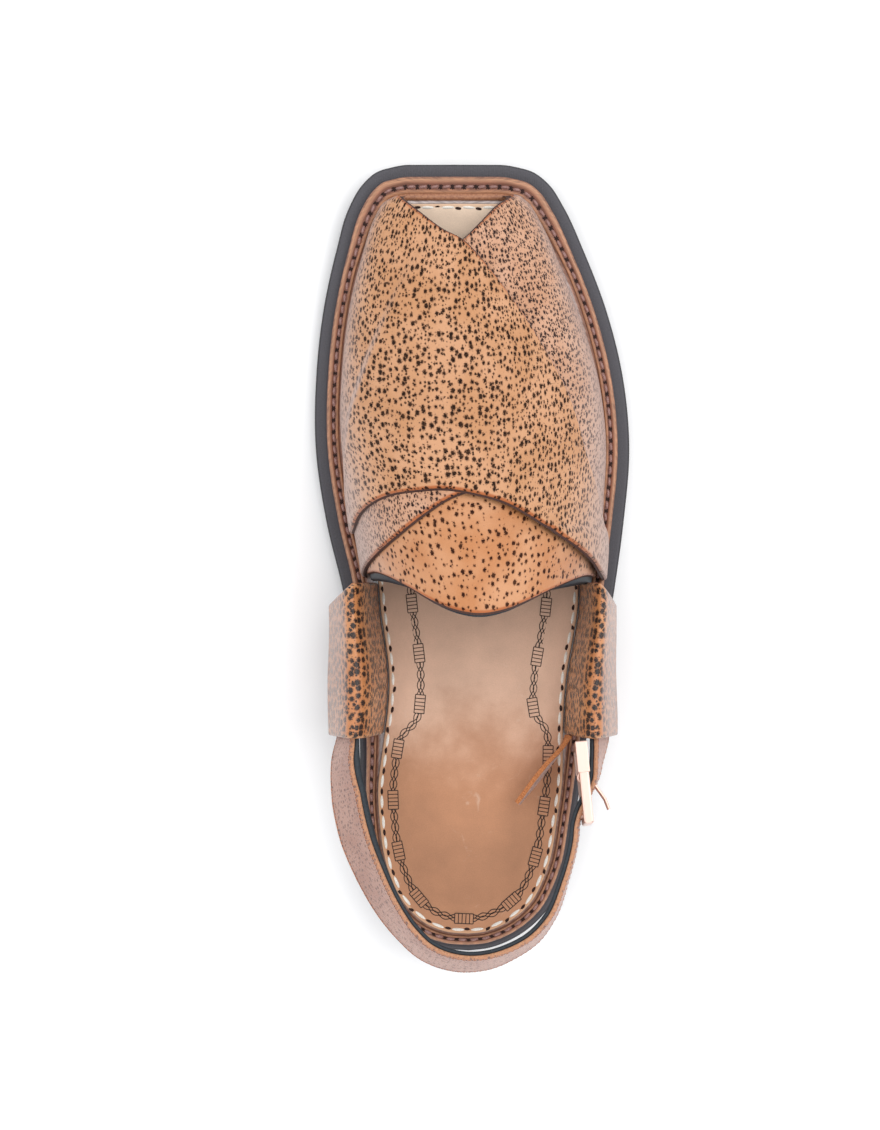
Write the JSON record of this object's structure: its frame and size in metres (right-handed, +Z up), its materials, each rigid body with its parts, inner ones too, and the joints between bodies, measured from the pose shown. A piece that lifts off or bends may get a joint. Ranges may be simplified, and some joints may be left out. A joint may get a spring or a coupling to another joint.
{
  "type": "peshawari chappal sandal",
  "caption": "Men's right sandal with crossed front straps, open toe, side loops, buckled heel strap, stitched leather welt and rubber sole with low heel.",
  "frame": {"origin": "on the floor under the heel's flat tread, 30 mm in front of the sole's rear edge", "axes": "+Y towards the toe, +X towards the lateral side, +Z up"},
  "size_m": [0.1243, 0.3135, 0.0961],
  "materials": {
    "outsole_rubber": "matt moulded rubber",
    "welt_leather": "burnished tan leather with stitching",
    "insole_leather": "smooth pinkish tan lining leather",
    "upper_leather": "tan leather embossed with a dark pitted grain",
    "loop_leather": "glossier tan leather with larger dark pits",
    "buckle_metal": "rose tinted plated metal"
  },
  "bodies": {
    "root": {"outsole": "outsole_rubber", "heel": "outsole_rubber", "midsole": "welt_leather", "insole": "insole_leather", "upper": "upper_leather", "tongue": "upper_leather", "loop_medial": "loop_leather", "loop_lateral": "loop_leather", "heel_strap": "upper_leather", "billet": "loop_leather", "buckle_frame": "buckle_metal", "buckle_prong": "buckle_metal"}
  },
  "joints": []
}
